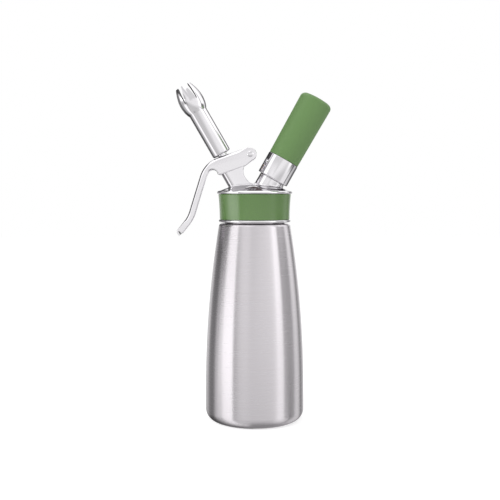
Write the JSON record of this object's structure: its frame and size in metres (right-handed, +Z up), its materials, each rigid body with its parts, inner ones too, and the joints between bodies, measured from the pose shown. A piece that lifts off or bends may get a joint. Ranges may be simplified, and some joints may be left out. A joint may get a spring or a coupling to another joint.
{
  "type": "whipped cream dispenser",
  "caption": "Steel pressure bottle with a screw-on head, squeeze lever and valve, a screw-on decorator tip, and a gas charger in a screw-on holder.",
  "frame": {"origin": "centre of the bottle's flat base, on the bottle's axis", "axes": "+Z up along the bottle's axis; -X towards the lever and the decorator tip, +X towards the charger holder; +Y towards the relief plug at the back of the head"},
  "size_m": [0.1285, 0.081, 0.2792],
  "materials": {
    "brushed_steel": "brushed round the axis",
    "polished_steel": "polished",
    "satin_steel": "satin",
    "spring_steel": "drawn",
    "brass": "machined",
    "green_silicone": "matte",
    "grey_silicone": "matte",
    "black_rubber": "matte",
    "acetal": "smooth"
  },
  "bodies": {
    "bottle": {"bottle": "brushed_steel"},
    "gasket": {"head_gasket": "grey_silicone"},
    "head": {"head": "polished_steel", "grip_band": "green_silicone", "pivot_pin": "polished_steel", "pivot_clip": "spring_steel", "valve_guide": "acetal", "return_spring": "spring_steel", "inlet_insert": "brass", "piercing_pin": "polished_steel", "inlet_seal": "grey_silicone", "check_spring": "spring_steel", "burst_disc": "brass", "relief_plug": "brass"},
    "lever": {"lever": "satin_steel"},
    "valve": {"valve_stem": "polished_steel", "stem_o_ring": "black_rubber", "seat_seal": "grey_silicone", "stem_nut": "brass"},
    "tip_ring": {"tip_o_ring": "black_rubber"},
    "tip": {"decorator_tip": "polished_steel"},
    "ball": {"check_ball": "polished_steel"},
    "charger": {"charger": "satin_steel"},
    "holder": {"charger_holder": "polished_steel", "holder_sleeve": "green_silicone"}
  },
  "joints": [
    {"name": "head_lift", "type": "slide", "parent": "bottle", "child": "gasket", "axis": [0, 0, 1], "range_m": [0, 0.00801]},
    {"name": "head_turn", "type": "hinge", "parent": "gasket", "child": "head", "pos_m": [0, 0, 0.17], "axis": [0, 0, 1], "range_deg": [0, 720]},
    {"name": "lever_squeeze", "type": "hinge", "parent": "head", "child": "lever", "pos_m": [-0.00358, 0, 0.21961], "axis": [0, -1, 0], "range_deg": [0, 11], "stiffness_Nm_per_rad": 0.36, "springref_deg": -14.9},
    {"name": "valve_press", "type": "slide", "parent": "head", "child": "valve", "axis": [0.5, 0, -0.866], "range_m": [0, 0.00297], "deforming": ["return_spring"]},
    {"name": "tip_lift", "type": "slide", "parent": "valve", "child": "tip_ring", "axis": [-0.5, 0, 0.866], "range_m": [0, 0.00401]},
    {"name": "tip_turn", "type": "hinge", "parent": "tip_ring", "child": "tip", "pos_m": [-0.03, 0, 0.22456], "axis": [-0.5, 0, 0.866], "range_deg": [0, 720]},
    {"name": "check_lift", "type": "slide", "parent": "head", "child": "ball", "axis": [-0.4924, 0, -0.8704], "range_m": [0, 0.001], "stiffness_N_per_m": 60, "springref_m": -0.002, "deforming": ["check_spring"]},
    {"name": "charger_lift", "type": "slide", "parent": "head", "child": "charger", "axis": [0.4924, 0, 0.8704], "range_m": [0, 0.00501]},
    {"name": "holder_turn", "type": "hinge", "parent": "charger", "child": "holder", "pos_m": [0.0197, 0, 0.20781], "axis": [0.4924, 0, 0.8704], "range_deg": [0, 720]}
  ],
  "couplings": [
    {"joint": "head_lift", "follows": "head_turn", "m_per_rad": 0.00063662},
    {"joint": "valve_press", "follows": "lever_squeeze", "m_per_rad": 0.015423},
    {"joint": "tip_lift", "follows": "tip_turn", "m_per_rad": 0.00031831},
    {"joint": "charger_lift", "follows": "holder_turn", "m_per_rad": 0.00039789}
  ]
}
